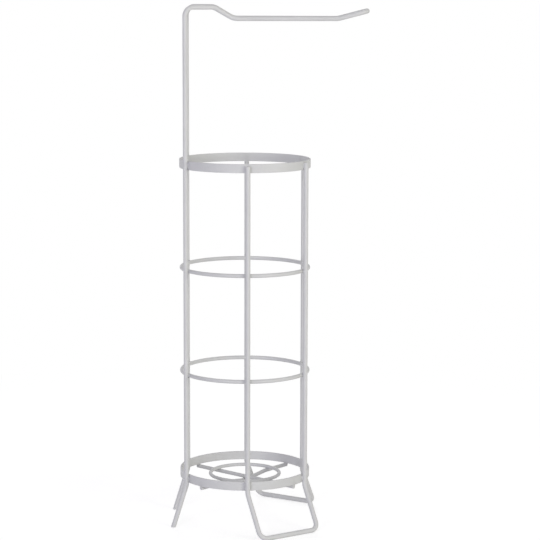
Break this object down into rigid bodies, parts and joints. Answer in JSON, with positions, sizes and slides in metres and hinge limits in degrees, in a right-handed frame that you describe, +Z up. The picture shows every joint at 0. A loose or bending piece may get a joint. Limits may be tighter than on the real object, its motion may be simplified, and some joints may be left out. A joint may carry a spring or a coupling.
{
  "type": "toilet roll storage holder",
  "caption": "Freestanding welded wire holder for toilet rolls: an open round cage stores spare rolls upright, and a hairpin arm above it carries the roll in use.",
  "frame": {"origin": "on the axis of the round cage, at floor level", "axes": "+Z up along the cage axis, +X the way the roll arm points, -Y towards the viewer of the picture"},
  "size_m": [0.226, 0.2022, 0.5958],
  "materials": {
    "wire_coat": "satin white powder coat on steel wire",
    "band_coat": "satin white powder coat on flat steel",
    "weld_coat": "satin white powder coat, slightly rough over the welds"
  },
  "bodies": {
    "root": {"arm_wire": "wire_coat", "front_foot_wire": "wire_coat", "rear_foot_wire": "wire_coat", "top_band": "band_coat", "upper_ring": "wire_coat", "lower_ring": "wire_coat", "bottom_band": "band_coat", "cross_wire_high": "wire_coat", "cross_wire_low": "wire_coat", "base_ring": "wire_coat", "band_welds": "weld_coat", "ring_welds": "weld_coat", "base_welds": "weld_coat"}
  },
  "joints": []
}
